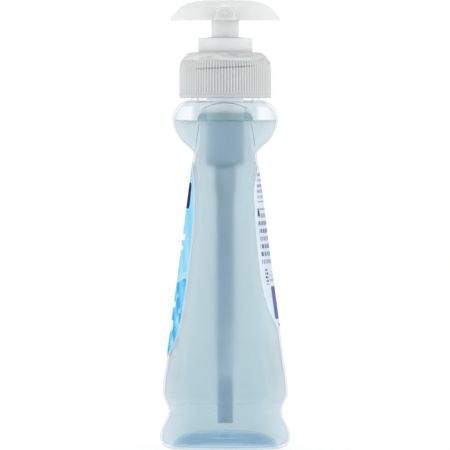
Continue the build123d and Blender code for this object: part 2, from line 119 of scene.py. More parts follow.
# Screw cap: its outside from the hem to the deck, its ribs and its sleeve
CAP_BOTTOM = 133.0
CAP_TOP = 150.3
CAP_HEIGHTS = (133, 133.35, 135, 143.8, 146.4, 147.7, 149, 149.8, 150.15, 150.3)
CAP_RADII = (17.1, 17.45, 17.5, 17.45, 17.05, 16.2, 15.15, 14.05, 13, 12)
CAP_HEM_TOP = 134.4
CAP_HEM_GROOVE = 0.14
CAP_GROOVE_REACH = 0.16
CAP_RIB_COUNT = 96
CAP_RIB_DEPTH = 0.36
CAP_RIB_LOW = 134.5
CAP_RIB_HIGH = 147.4
CAP_HOLE_RADIUS = 10.4
CAP_DECK_BOTTOM = 148.9
CAP_SKIRT_BORE = 15.8
CAP_SLEEVE_RADIUS = 15.1
CAP_SLEEVE_BORE = 14.0
CAP_SLEEVE_BOTTOM = 133.7
CAP_POCKET_TOP = 147.2
CAP_THREAD_START = 137.39
CAP_THREAD_TURNS = 1.0
RIB_COLUMNS = 6

# Fill, labels, spring
LIQUID_LEVEL = 124.2
LIQUID_GAP = 0.1
MENISCUS_RISE = 0.45
MENISCUS_REACH = 1.1
FILM_GAP = 0.06
FILM_THICKNESS = 0.1
SPRING_FLAT_TURNS = 1.1

# Painted shade, highlights and tints on the bottle's wall: places are given across the depth (y) and up (z)
POOL_CENTRE = (0, 120)
POOL_HALF_SIZE = (10.5, 7.4)
POOL_CORNER = 2.6
DOME_CENTRE = (0, 114.2, 0)
DOME_RADIUS = 17.0
DOME_HALF_WIDTH = 9.2
FLANK_HALF_WIDTH = 12.2
MILKY_LIGHT_HALF_WIDTH = 9.8
CREASE_HALF_WIDTH = 9.85
CREASE_LEAN = 0.155
CREASE_TOP = 123.6
BASE_RIM_SPREAD = 1.2
BASE_STEPS = ((2.7, 7.0), (4.4, 3.8))

# Painted shade, glow and tints on the plastics. The thread's line of painted shade lies on the cap's
# outside, at 1.3 times the radius of the thread that it stands for, so it climbs 1.3 times the pitch to show
# the thread's own slope.
THREAD_LINE_HEIGHT = 144.6
THREAD_LINE_CLIMB = 1.3 * THREAD_PITCH
DOME_RIM = 162.0
NOZZLE_ARCH_TOP = 167.2
NOZZLE_ARCH_HALF_WIDTH = 2.95
NOZZLE_ARCH_LEAN = 0.42
NOZZLE_ARCH_SPRING = 166.9
NOZZLE_BORE_HEIGHT = 165.0
NOZZLE_SLOT_CENTRE = (0.0, 165.1)
NOZZLE_FACE_FROM = 12.0
BARREL_TAIL_TOP = 107.2
TUBE_LIGHTER_TOP = 44.8

# Front print: the film's ends, the printed field inside its pale edge, and the sea
FRONT_FILM_LOW = 35.0
FRONT_FILM_HIGH = 108.6
PRINT_CENTRE = (0, 71.8)
PRINT_HALF_SIZE = (21.8, 35.8)
PRINT_CORNER = 17.0
PRINT_FADE = 1.6
SEA_TOP = 63.8
CREST_TOP = 66.4

# Sizes of surface patterns in millimetres
MOULD_PEEL_MM = 2.86
FLOW_MARKS_MM = 9.1
THREAD_PATCH_MM = 7.14
SHOULDER_STREAK_MM = (8.33, 8.33, 1.43)
DRAW_LINES_MM = 0.154
FILM_GRAIN_MM = 0.4
SWELL_MM = 28.6
GLINT_MM = 6.25
INK_CLOUD_MM = 10.0


def hex_colour(code):
    """Linear RGBA of an sRGB hex colour."""
    parts = [int(code[i : i + 2], 16) / 255 for i in (0, 2, 4)]
    return [c / 12.92 if c <= 0.04045 else ((c + 0.055) / 1.055) ** 2.4 for c in parts] + [1.0]


def flow(z, heights, values):
    """Smooth value at each height: cubic pieces through the listed values, whose slopes never overshoot."""
    x, y = np.array(heights, float), np.array(values, float)
    step = np.diff(x)
    rise = np.diff(y) / step
    product = rise[:-1] * rise[1:]
    total = np.where(product > 0, rise[:-1] + rise[1:], 1)
    slope = np.concatenate([rise[:1], np.where(product > 0, 2 * product / total, 0), rise[-1:]])
    i = np.clip(np.searchsorted(x, z) - 1, 0, len(x) - 2)
    t = np.clip((z - x[i]) / step[i], 0, 1)
    return (
        (2 * t**3 - 3 * t**2 + 1) * y[i]
        + (t**3 - 2 * t**2 + t) * step[i] * slope[i]
        + (3 * t**2 - 2 * t**3) * y[i + 1]
        + (t**3 - t**2) * step[i] * slope[i + 1]
    )


def soft_min(a, b, reach):
    """The lesser of two values, lowered by reach (1 - |a - b| / reach)^3 / 6 where they are within reach."""
    near = np.clip(reach - np.abs(a - b), 0, None) / reach
    return np.minimum(a, b) - near**3 * reach / 6


def outline(angle, half_width, half_depth, crown, corner):
    """Radius of a rounded outline at each angle.

    Its sides are |x| = half_width - y^2 / (2 R), and its front and back are
    |y| = half_depth - crown (x / x_corner)^2. Each is a quadratic in the radius, and the lesser root is the
    outline. Where they meet at an angle of p, it is cut back by corner (1 / sin(p / 2) - 1), as a fillet of
    that radius does.
    """
    c, s = np.abs(np.cos(angle)), np.abs(np.sin(angle))
    edge_depth = half_depth - crown
    side_bend = s**2 / (2 * SIDE_PANEL_RADIUS)
    side = 2 * half_width / (c + np.sqrt(c**2 + 4 * side_bend * half_width))
    x_corner = half_width - edge_depth**2 / (2 * SIDE_PANEL_RADIUS)
    front_bend = crown * c**2 / x_corner**2
    front = 2 * half_depth / (s + np.sqrt(s**2 + 4 * front_bend * half_depth))
    meeting = np.pi / 2 + np.arctan(2 * crown / x_corner) + np.arctan(edge_depth / SIDE_PANEL_RADIUS)
    cut_back = corner * (1 / np.sin(meeting / 2) - 1)
    return soft_min(side, front, 6.6 * cut_back)


def body_radius(angle, z, inset):
    """Radius of the body at each angle and height, drawn in by inset.

    It is the greater of the spine's outline and the lobes' outline, with a soft crease where they meet.
    """
    lifted = np.minimum(z + inset * np.clip((z - 110) / 15, 0, 1), SHOULDER_TOP)
    spine = outline(
        angle,
        flow(lifted, SPINE_HEIGHTS, SPINE_HALF_WIDTHS) - inset,
        flow(lifted, SPINE_HEIGHTS, SPINE_HALF_DEPTHS) - inset,
        flow(lifted, SPINE_HEIGHTS, SPINE_CROWNS),
        flow(lifted, SPINE_HEIGHTS, SPINE_CORNERS) - inset,
    )
    lobe = outline(
        angle,
        flow(lifted, LOBE_HEIGHTS, LOBE_HALF_WIDTHS) - inset,
        flow(lifted, LOBE_HEIGHTS, LOBE_HALF_DEPTHS) - inset,
        LOBE_CROWN,
        LOBE_CORNER - inset,
    )
    lobe = np.where(lifted < LOBE_HEIGHTS[0], 0, lobe)
    return -soft_min(-spine, -lobe, CREASE_SOFTNESS)


def ellipse_radius(angle, half_length, half_width):
    """Radius of an ellipse at each angle."""
    return 1 / np.sqrt((np.cos(angle) / half_length) ** 2 + (np.sin(angle) / half_width) ** 2)


def punt_radius(angle, share, grown):
    """Radius of the pushed-up base at each angle, from its roof at share 0 to its rim at share 1."""
    return ellipse_radius(
        angle,
        flow(share, PUNT_DROPS, PUNT_HALF_LENGTHS) + grown,
        flow(share, PUNT_DROPS, PUNT_HALF_WIDTHS) + grown,
    )


def object_from(name, vertices, faces):
    """A smooth mesh object at the origin from points in millimetres."""
    mesh = bpy.data.meshes.new(name)
    mesh.from_pydata((np.asarray(vertices) * MM).tolist(), [], faces)
    mesh.polygons.foreach_set("use_smooth", np.full(len(mesh.polygons), True))
    mesh.update()
    made = bpy.data.objects.new(name, mesh)
    scene.collection.objects.link(made)
    return made


def closed_skin(name, angle, radius, height, looped=False):
    """A closed surface through rings (radius cos a, radius sin a, height).

    It ends in a fan at its first and last ring or, where it goes round a hole, joins the last ring to the
    first.
    """
    radius, height = np.broadcast_arrays(radius, height)
    rows, columns = radius.shape
    points = np.stack([radius * np.cos(angle), radius * np.sin(angle), height], axis=-1)
    row = np.arange(rows if looped else rows - 1)[:, None] * columns
    above = (row + columns) % (rows * columns)
    here = np.arange(columns)[None, :]
    after = (here + 1) % columns
    quads = np.stack([row + here, row + after, above + after, above + here], axis=-1)
    if looped:
        return object_from(name, points.reshape(-1, 3), quads.reshape(-1, 4).tolist())
    first, last = rows * columns, rows * columns + 1
    top = (rows - 1) * columns
    here, after = here[0], after[0]
    start_fan = np.stack([np.full(columns, first), after, here], axis=-1)
    end_fan = np.stack([top + here, top + after, np.full(columns, last)], axis=-1)
    poles = [[0, 0, height[0].mean()], [0, 0, height[-1].mean()]]
    vertices = np.concatenate([points.reshape(-1, 3), poles])
    faces = quads.reshape(-1, 4).tolist() + start_fan.tolist() + end_fan.tolist()
    return object_from(name, vertices, faces)


def spread(start, end, count):
    """A column of evenly spaced values, for rings."""
    return np.linspace(start, end, count)[:, None]


ring_angle = np.linspace(0, 2 * np.pi, AROUND, endpoint=False)[None, :]


def rings(angle, *bands):
    """Bands of rings one after another, each given as (radius, height)."""
    filled = [np.broadcast_arrays(radius + 0 * angle, height + 0 * angle) for radius, height in bands]
    return np.concatenate([r for r, h in filled]), np.concatenate([h for r, h in filled])


def thread_rise(angle, z, start, whole_turns):
    """How far a thread stands proud: a trapezoid about the helix z = start + pitch (angle / 2 pi + turn).

    It runs out to nothing within a small share of a turn at both ends.
    """
    proud = 0
    for turn in (0, 1):
        turns = angle / (2 * np.pi) + turn
        away = np.abs(z - start - THREAD_PITCH * turns)
        flank = np.clip((THREAD_ROOT_HALF - away) / (THREAD_ROOT_HALF - THREAD_CREST_HALF), 0, 1)
        run_in = np.clip(turns / THREAD_RUN_OUT, 0, 1)
        run_out = np.clip((whole_turns - turns) / THREAD_RUN_OUT, 0, 1)
        proud = np.maximum(proud, THREAD_PROUD * flank * run_in * run_out)
    return proud


def bottle_shell():
    """The blown bottle as one closed wall.

    Rings run from the middle of the pushed-up base out to the foot, up the outside to the lip, and down the
    inside to the floor. They lie closer where the wall bends.
    """
    a = ring_angle
    share = spread(0, 1, 16)
    side = np.concatenate([spread(0, 22, 34), spread(22.8, 106, 60), spread(107, SHOULDER_TOP, 42)])
    neck = spread(133.3, 145.9, 44)
    fade = spread(0.2, 1, 4)
    inner_top = SHOULDER_TOP - SIDE_WALL
    inside = np.concatenate([spread(inner_top, 107, 26), spread(105, 24, 30), spread(22, 2.4, 14)])
    middle = spread(0.04, 0.92, 10)
    gate = GATE_DEPTH * (punt_radius(a, 0, 0) * middle < GATE_RADIUS)
    shoulder = body_radius(a, SHOULDER_TOP, 0)
    inner_step = body_radius(a, inner_top, SIDE_WALL) - NECK_BORE_RADIUS
    inner_share = 1 - 0.85 * share
    inner_roof = PUNT_HEIGHTS[0] + BASE_WALL
    return closed_skin(
        "bottle_shell",
        a,
        *rings(
            a,
            (punt_radius(a, 0, 0) * middle, PUNT_HEIGHTS[0] - gate),
            (punt_radius(a, share, 0), flow(share, PUNT_DROPS, PUNT_HEIGHTS)),
            (body_radius(a, side, 0), side),
            (shoulder + (BEAD_RADIUS - shoulder) * fade, SHOULDER_TOP + 0.1 * fade),
            (BEAD_RADIUS, spread(SHOULDER_TOP + 0.2, BEAD_TOP - 0.15, 3)),
            (NECK_RADIUS + 0.25, BEAD_TOP),
            (NECK_RADIUS + thread_rise(a, neck, THREAD_START, THREAD_TURNS), neck),
            (NECK_RADIUS - 0.1, NECK_TOP - 0.1),
            (spread(NECK_RADIUS - 0.4, NECK_BORE_RADIUS + 0.3, 3), NECK_TOP),
            (NECK_BORE_RADIUS, spread(NECK_TOP - 0.3, SHOULDER_TOP, 8)),
            (NECK_BORE_RADIUS + inner_step * fade, inner_top + 0.1 * (1 - fade)),
            (body_radius(a, inside, SIDE_WALL), inside),
            (body_radius(a, HEEL_HEIGHT, SIDE_WALL) - HEEL_ROUND, HEEL_HEIGHT),
            (punt_radius(a, inner_share, BASE_WALL), BASE_WALL + flow(inner_share, PUNT_DROPS, PUNT_HEIGHTS)),
            (punt_radius(a, 0, BASE_WALL) * spread(0.95, 0.08, 6), inner_roof),
        ),
    )


def soap_fill():
    """The liquid: it follows the inside of the wall up to its level, and climbs a little where it wets it.

    The rise falls off with the distance from the wall as exp(-distance / reach), and the pump stands in it.
    """
    a = ring_angle
    inset = SIDE_WALL + LIQUID_GAP
    grown = BASE_WALL + LIQUID_GAP
    share = spread(0, 0.86, 16)
    side = np.concatenate([spread(2.2, 22, 26), spread(23, 106, 60), spread(107, LIQUID_LEVEL - 0.2, 26)])
    rim = body_radius(a, LIQUID_LEVEL, inset)
    inward = spread(0, 1, 26) ** 1.6
    rise = MENISCUS_RISE * np.exp(-rim * inward / MENISCUS_REACH)
    return closed_skin(
        "soap_fill",
        a,
        *rings(
            a,
            (punt_radius(a, 0, grown) * spread(0.08, 0.95, 6), PUNT_HEIGHTS[0] + grown),
            (punt_radius(a, share, grown), grown + flow(share, PUNT_DROPS, PUNT_HEIGHTS)),
            (body_radius(a, HEEL_HEIGHT, inset) - HEEL_ROUND, HEEL_HEIGHT + LIQUID_GAP),
            (body_radius(a, side, inset), side),
            (rim * (1 - 0.97 * inward), LIQUID_LEVEL + rise),
        ),
    )


def cap_moulding():
    """The screw cap as one closed wall round the collar's hole: deck, ribbed skirt, pocket and threaded bore.

    The ribs stand proud by depth |cos(count a / 2)|, fade in over the rounded shoulder and end above a plain
    hem, which a fine groove sets off.
    """
    a = np.linspace(0, 2 * np.pi, CAP_RIB_COUNT * RIB_COLUMNS, endpoint=False)[None, :]
    hem = [spread(CAP_BOTTOM, CAP_HEM_TOP - 0.4, 6), spread(CAP_HEM_TOP - 0.2, CAP_RIB_LOW, 4)]
    ribbed = [spread(CAP_RIB_LOW + 0.1, 146, 24), spread(146.3, CAP_TOP - 0.03, 16)]
    side = np.concatenate(hem + ribbed)
    plain = flow(side, CAP_HEIGHTS, CAP_RADII)
    fade = np.clip((side - CAP_RIB_LOW) / 0.4, 0, 1) * np.clip((CAP_RIB_HIGH - side) / 1.6, 0, 1)
    valley = CAP_RIB_DEPTH * (1 - np.abs(np.cos(CAP_RIB_COUNT / 2 * a)))
    groove = CAP_HEM_GROOVE * np.exp(-(((side - CAP_HEM_TOP) / CAP_GROOVE_REACH) ** 2))
    bore = spread(CAP_SLEEVE_BOTTOM + 0.3, CAP_DECK_BOTTOM - 0.2, 48)
    thread = thread_rise(a, bore, CAP_THREAD_START, CAP_THREAD_TURNS)
    return closed_skin(
        "cap_moulding",
        a,
        *rings(
            a,
            (spread(CAP_SKIRT_BORE + 0.2, CAP_RADII[0] - 0.2, 2), CAP_BOTTOM),
            (plain - valley * fade - groove, side),
            (spread(11.9, CAP_HOLE_RADIUS + 0.3, 3), CAP_TOP),
            (CAP_HOLE_RADIUS, spread(CAP_TOP - 0.2, CAP_DECK_BOTTOM + 0.2, 2)),
            (spread(CAP_HOLE_RADIUS + 0.2, CAP_SLEEVE_BORE - 0.3, 2), CAP_DECK_BOTTOM),
            (CAP_SLEEVE_BORE - thread[::-1], bore[::-1]),
            (spread(CAP_SLEEVE_BORE + 0.2, CAP_SLEEVE_RADIUS - 0.2, 2), CAP_SLEEVE_BOTTOM),
            (CAP_SLEEVE_RADIUS, spread(CAP_SLEEVE_BOTTOM + 0.2, CAP_POCKET_TOP - 0.3, 3)),
            (0.5 * (CAP_SLEEVE_RADIUS + CAP_SKIRT_BORE), CAP_POCKET_TOP),
            (CAP_SKIRT_BORE - 0.1, spread(CAP_POCKET_TOP - 0.3, CAP_BOTTOM + 0.2, 3)),
        ),
        looped=True,
    )


def film_label(name, half_width, low, high, low_corner, high_corner, side):
    """A film skin on the front (side -1) or back (side 1) of the body.

    Its points lie at x = share * w(z), where w draws in by an arc at each corner, on the body's own outline.
    """
    share = np.linspace(-1, 1, 97)[None, :]
    t = (1 - np.cos(np.linspace(0, np.pi, 130))) / 2
    z = (low + (high - low) * t)[:, None]
    drop = np.clip(low + low_corner - z, 0, None)
    climb = np.clip(z - high + high_corner, 0, None)
    low_arc = np.sqrt(np.clip(low_corner**2 - drop**2, 0, None)) - low_corner
    high_arc = np.sqrt(np.clip(high_corner**2 - climb**2, 0, None)) - high_corner
    x = share * (half_width + low_arc + high_arc)
    half_x = flow(z, SPINE_HEIGHTS, SPINE_HALF_WIDTHS)
    half_y = flow(z, SPINE_HEIGHTS, SPINE_HALF_DEPTHS)
    crown = flow(z, SPINE_HEIGHTS, SPINE_CROWNS)
    x_corner = half_x - (half_y - crown) ** 2 / (2 * SIDE_PANEL_RADIUS)
    angle = np.arctan2(side * (half_y - crown * (x / x_corner) ** 2), x)
    radius = body_radius(angle, z + 0 * x, -FILM_GAP)
    points = np.stack([radius * np.cos(angle), radius * np.sin(angle), z + 0 * x], axis=-1)
    rows, columns = x.shape
    row = np.arange(rows - 1)[:, None] * columns
    here = np.arange(columns - 1)[None, :]
    corners = [row + here, row + here + 1, row + columns + here + 1, row + columns + here]
    quads = np.stack(corners if side < 0 else corners[::-1], axis=-1).reshape(-1, 4)
    made = object_from(name, points.reshape(-1, 3), quads.tolist())
    wall = made.modifiers.new("film thickness", "SOLIDIFY")
    wall.thickness = FILM_THICKNESS * MM
    wall.offset = 1.0
    return made


def coil_spring(name, low, high, mean_radius, wire, turns):
    """A round wire carried along a helix, with its last turn at each end drawn flat.

    Its centre line is (r cos t, r sin t, climb), and the wire's ring stands across it, outwards and up.
    """
    along = np.linspace(0, 1, int(turns * 72) + 1)
    flat = SPRING_FLAT_TURNS / turns
    climb = np.clip((along - 0.6 * flat) / (1 - 1.2 * flat), 0, 1)
    height = low + wire / 2 + (high - low - wire) * climb
    turn = 2 * np.pi * turns * along
    centre = np.stack([mean_radius * np.cos(turn), mean_radius * np.sin(turn), height], axis=-1)
    out = np.stack([np.cos(turn), np.sin(turn), 0 * turn], axis=-1)
    up = np.array([0.0, 0.0, 1.0])
    around = np.linspace(0, 2 * np.pi, 14, endpoint=False)
    offset = out[:, None] * np.cos(around)[None, :, None] + up * np.sin(around)[None, :, None]
    points = centre[:, None] + offset * wire / 2
    rows, columns = points.shape[:2]
    row = np.arange(rows - 1)[:, None] * columns
    here = np.arange(columns)[None, :]
    after = (here + 1) % columns
    quads = np.stack([row + here, row + columns + here, row + columns + after, row + after], axis=-1)
    ends = [list(range(columns)), list(range(rows * columns - 1, (rows - 1) * columns - 1, -1))]
    return object_from(name, points.reshape(-1, 3), quads.reshape(-1, 4).tolist() + ends)


def new_material(name):
    """An empty node material with its output, as (material, tree, output)."""
    made = bpy.data.materials.new(name)
    made.use_nodes = True
    made.node_tree.nodes.clear()
    output = made.node_tree.nodes.new("ShaderNodeOutputMaterial")
    return made, made.node_tree, output


def add_node(tree, kind, inputs=None, out=0, **settings):
    """Adds a node and gives one of its outputs; inputs gives sockets a value or another node's output."""
    made = tree.nodes.new("ShaderNode" + kind)
    for key, value in settings.items():
        setattr(made, key, value)
    for key, value in (inputs or {}).items():
        if isinstance(value, bpy.types.NodeSocket):
            tree.links.new(value, made.inputs[key])
        else:
            made.inputs[key].default_value = value
    return made.outputs[out]


def places(tree):
    """Object coordinates in millimetres, as (vector, x, y, z)."""
    metres = add_node(tree, "TexCoord", out="Object")
    where = add_node(tree, "VectorMath", {0: metres, 1: (1 / MM,) * 3}, operation="MULTIPLY")
    parts = add_node(tree, "SeparateXYZ", {0: where}).node.outputs
    return where, parts[0], parts[1], parts[2]


def within(tree, value, low, high, soft):
    """1 where a value lies between low and high, with edges that fade over soft."""
    share = 1
    for edge, start, end in ((low, 0.0, 1.0), (high, 1.0, 0.0)):
        ranged = {"Value": value, 1: edge - soft / 2, 2: edge + soft / 2, 3: start, 4: end}
        side = add_node(tree, "MapRange", ranged, interpolation_type="SMOOTHSTEP")
        share = add_node(tree, "Math", {0: share, 1: side}, operation="MULTIPLY")
    return share


def all_of(tree, *shares):
    """The product of several shares."""
    product = shares[0]
    for share in shares[1:]:
        product = add_node(tree, "Math", {0: product, 1: share}, operation="MULTIPLY")
    return product


def coats(tree, colour, *layers):
    """A colour under layers, each given as (share, colour) and laid over what is below it.

    A colour is an sRGB hex code, a linear colour or the output of a node.
    """
    for share, over in layers:
        below, above = [hex_colour(c) if isinstance(c, str) else c for c in (colour, over)]
        colour = add_node(tree, "Mix", {0: share, 6: below, 7: above}, out=2, data_type="RGBA")
    return colour


def bar(tree, across, up, centre, half_size, corner, soft=0.25):
    """1 inside a rounded bar: the distance from its inner rectangle is less than its corner radius."""
    beyond = []
    for value, middle, half in zip((across, up), centre, half_size):
        off = add_node(tree, "Math", {0: value, 1: middle}, operation="SUBTRACT")
        off = add_node(tree, "Math", {0: off}, operation="ABSOLUTE")
        off = add_node(tree, "Math", {0: off, 1: half - corner}, operation="SUBTRACT")
        beyond.append(add_node(tree, "Math", {0: off, 1: 0.0}, operation="MAXIMUM"))
    outward = add_node(tree, "CombineXYZ", {0: beyond[0], 1: beyond[1]})
    away = add_node(tree, "VectorMath", {0: outward}, out="Value", operation="LENGTH")
    return within(tree, away, -1.0, corner, soft)


def shoulder_painted_shade(tree, y, z, tint):
    """Painted shade and reflections for what the bent wall of the shoulder shows between its lobes.

    A dome of painted shade is the inside of a circle about its centre, with a darker arc as its rim, and a
    pool of painted shade stands under it. Two creases of painted shade lean in at |y| = half width + lean
    (top - z), where the lobes leave the spine, and the flank and a line at the soap's level are shaded too.
    Gives the tint and the arc.
    """
    dry = within(tree, z, LIQUID_LEVEL, 140.0, 0.1)
    pool = all_of(tree, dry, bar(tree, y, z, POOL_CENTRE, POOL_HALF_SIZE, POOL_CORNER, 0.4))
    place = add_node(tree, "CombineXYZ", {0: y, 1: z})
    from_centre = add_node(tree, "VectorMath", {0: place, 1: DOME_CENTRE}, out="Value", operation="DISTANCE")
    middle = within(tree, y, -DOME_HALF_WIDTH, DOME_HALF_WIDTH, 3.0)
    fade = add_node(tree, "MapRange", {"Value": z, 1: 130.8, 2: 127.2, 3: 0.1, 4: 1.0})
    dome = all_of(tree, dry, middle, within(tree, from_centre, -1.0, DOME_RADIUS, 0.3), fade)
    rim = within(tree, from_centre, DOME_RADIUS - 0.15, DOME_RADIUS + 0.1, 0.2)
    arc = all_of(tree, rim, within(tree, y, 1.0 - DOME_HALF_WIDTH, DOME_HALF_WIDTH - 1.0, 2.0), dry)
    flank = within(tree, y, -FLANK_HALF_WIDTH, FLANK_HALF_WIDTH, 2.6)
    flank = all_of(tree, dry, flank, within(tree, z, 120.0, 131.4, 0.6))
    level = within(tree, z, LIQUID_LEVEL - 0.05, LIQUID_LEVEL + 0.2, 0.1)
    aside = add_node(tree, "Math", {0: y}, operation="ABSOLUTE")
    lean = {0: z, 1: CREASE_LEAN, 2: -CREASE_HALF_WIDTH - CREASE_LEAN * CREASE_TOP}
    lean = add_node(tree, "Math", lean, operation="MULTIPLY_ADD")
    beside = add_node(tree, "Math", {0: aside, 1: lean}, operation="ADD")
    crease = all_of(tree, within(tree, beside, -0.18, 0.18, 0.2), within(tree, z, 114.0, 123.4, 1.5))
    # Painted shade and reflections over the shoulder, and a painted line at the soap's level
    tint = coats(tree, tint, (flank, "F3F7F9"), (dome, "E8EBEE"), (pool, "DDE8EA"), (arc, "D2D9DF"))
    return coats(tree, tint, (level, "EEF2F4"), (crease, "E6ECF0")), arc


def base_tint_and_highlights(tree, where, y, z, tint):
    """The pushed-up base is tinted bluer, with a painted highlight along each of its two steps.

    It is the inside of its rim's ellipse, up to its roof.
    """
    reach = (PUNT_HALF_LENGTHS[-1] + BASE_RIM_SPREAD, PUNT_HALF_WIDTHS[-1] + BASE_RIM_SPREAD)
    shares = {0: where, 1: (1 / reach[0], 1 / reach[1], 0)}
    scaled = add_node(tree, "VectorMath", shares, operation="MULTIPLY")
    out_share = add_node(tree, "VectorMath", {0: scaled}, out="Value", operation="LENGTH")
    beneath = within(tree, out_share, -1.0, 1.0, 0.01)
    pushed_up = all_of(tree, beneath, within(tree, z, -1.0, PUNT_HEIGHTS[0] + 0.3, 0.2))
    tint = coats(tree, tint, (pushed_up, "DCEBF2"))
    # Painted highlights along the two steps
    for step, half in BASE_STEPS:
        along = within(tree, y, -half, half, 1.5)
        line = all_of(tree, pushed_up, within(tree, z, step - 0.14, step + 0.14, 0.15), along)
        tint = coats(tree, tint, (line, "EEF7FB"))
    return tint


def clear_pet():
    """PET, stretch-blown against a polished mould: clear and glossy, grey-blue only where seen edge-on.

    Painted shade and reflections stand in for what the bent wall shows on the shoulder between the lobes,
    with a painted line where the soap wets the wall. The pushed-up base is tinted bluer, with painted
    highlights along its steps. Right under the neck a whitish sheet paints light over the barrel that the cap
    shades, and the painted arc shows darker in it.
    """
    made, tree, output = new_material("clear_pet")
    where, x, y, z = places(tree)
    facing = add_node(tree, "LayerWeight", {"Blend": 0.5}, out="Facing")
    edge = add_node(tree, "Math", {0: facing, 1: 8.0}, operation="POWER")
    tint = coats(tree, "FDFEFF", (edge, "D8E3EA"))
    tint, arc = shoulder_painted_shade(tree, y, z, tint)
    tint = base_tint_and_highlights(tree, where, y, z, tint)
    clear = add_node(tree, "BsdfTransparent", {"Color": tint})
    # Painted light: a whitish matte sheet under the neck lightens the barrel that the cap shades; the painted
    # arc shows darker in it
    milky_rise = add_node(tree, "MapRange", {"Value": z, 1: 127.5, 2: 131.0, 3: 0.08, 4: 0.34})
    middle = within(tree, y, -MILKY_LIGHT_HALF_WIDTH, MILKY_LIGHT_HALF_WIDTH, 1.5)
    milky_light = all_of(tree, middle, within(tree, z, 127.4, 131.7, 0.2), milky_rise)
    milky_sheet = add_node(tree, "BsdfDiffuse", {"Color": coats(tree, "E6EBF0", (arc, "5C767F"))})
    wall = add_node(tree, "MixShader", {0: milky_light, 1: clear, 2: milky_sheet})
    peel = add_node(tree, "TexNoise", {"Vector": where, "Scale": 1 / MOULD_PEEL_MM, "Detail": 1.0})
    bump = add_node(tree, "Bump", {"Strength": 0.06, "Distance": 0.001, "Height": peel})
    gloss = add_node(tree, "BsdfGlossy", {"Color": hex_colour("FFFFFF"), "Roughness": 0.05, "Normal": bump})
    grazing = add_node(tree, "Math", {0: facing, 1: 5.0}, operation="POWER")
    share = add_node(tree, "Math", {0: grazing, 1: 0.4, 2: 0.02}, operation="MULTIPLY_ADD")
    mixed = add_node(tree, "MixShader", {0: share, 1: wall, 2: gloss})
    tree.links.new(mixed, output.inputs["Surface"])
    return made


def blue_soap():
    """Liquid hand soap: water-clear with a pale blue dye and a haze, so what stands deep in it goes soft.

    The haze grows from the foot up. Low down the light goes straight through, because a bent ray would mirror
    the tube in the pushed-up base, and lamps shine straight through everywhere.
    """
    made, tree, output = new_material("blue_soap")
    where, x, y, z = places(tree)
    haze = add_node(tree, "MapRange", {"Value": z, 1: 9.0, 2: 45.0, 3: 0.35, 4: 0.8})
    liquid = {"Base Color": hex_colour("FFFFFF"), "Roughness": haze, "IOR": 1.08, "Transmission Weight": 1.0}
    bent = add_node(tree, "BsdfPrincipled", liquid)
    straight = add_node(tree, "BsdfTransparent", {"Color": hex_colour("FCFDFE")})
    shadow = add_node(tree, "LightPath", out="Is Shadow Ray")
    low = add_node(tree, "MapRange", {"Value": z, 1: 8.0, 2: 45.0, 3: 1.0, 4: 0.0})
    share = add_node(tree, "Math", {0: shadow, 1: low}, operation="MAXIMUM")
    surface = add_node(tree, "MixShader", {0: share, 1: bent, 2: straight})
    dye = add_node(tree, "VolumeAbsorption", {"Color": hex_colour("84BCC6"), "Density": 13.0})
    tree.links.new(surface, output.inputs["Surface"])
    tree.links.new(dye, output.inputs["Volume"])
    return made


def moulded_plastic(
    name, colour, roughness, grain_mm, grain_depth, soak=(0.0, 1.0), through=0.0, marks=None, lit=None
):
    """An injection-moulded plastic: a fine grain from the mould, mottled flow marks, and light that soaks in.

    The grain is drawn coarser than it is, so that it shows. Soak is the share of light that goes in and its
    reach in millimetres; through is the share that comes through the wall, or a function that gives it by
    place. Marks takes the tree, its places and the colour so far, and gives the colour with its marks and any
    painted shade or light. Lit gives, by place, the strength of a painted glow for the light that reaches a
    deep or hidden part of the piece through thin walls.
    """
    made, tree, output = new_material(name)
    where, x, y, z = places(tree)
    grain = add_node(tree, "TexNoise", {"Vector": where, "Scale": 1 / grain_mm, "Detail": 3.0})
    bump = add_node(tree, "Bump", {"Strength": grain_depth, "Distance": 0.0001, "Height": grain})
    flow_marks = {"Vector": where, "Scale": 1 / FLOW_MARKS_MM, "Detail": 3.0, "Roughness": 0.6}
    clouds = add_node(tree, "TexNoise", flow_marks)
    darker = [0.9 * c for c in hex_colour(colour)[:3]] + [1]
    shade = coats(tree, colour, (clouds, darker))
    if marks:
        shade = marks(tree, where, x, y, z, shade)
    plastic = {
        "Base Color": shade,
        "Roughness": roughness,
        "IOR": 1.49,
        "Subsurface Weight": soak[0],
        "Subsurface Radius": (1.0, 0.95, 0.9),
        "Subsurface Scale": soak[1] * MM,
        "Normal": bump,
        # The painted glow, as strong as lit gives by place
        "Emission Color": hex_colour("E6EAEA"),
        "Emission Strength": lit(tree, x, y, z) if lit else 0.0,
    }
    surface = add_node(tree, "BsdfPrincipled", plastic)
    if callable(through):
        through = through(tree, z)
    if through:
        glow = add_node(tree, "BsdfTranslucent", {"Color": shade})
        surface = add_node(tree, "MixShader", {0: through, 1: surface, 2: glow})
    tree.links.new(surface, output.inputs["Surface"])
    return made


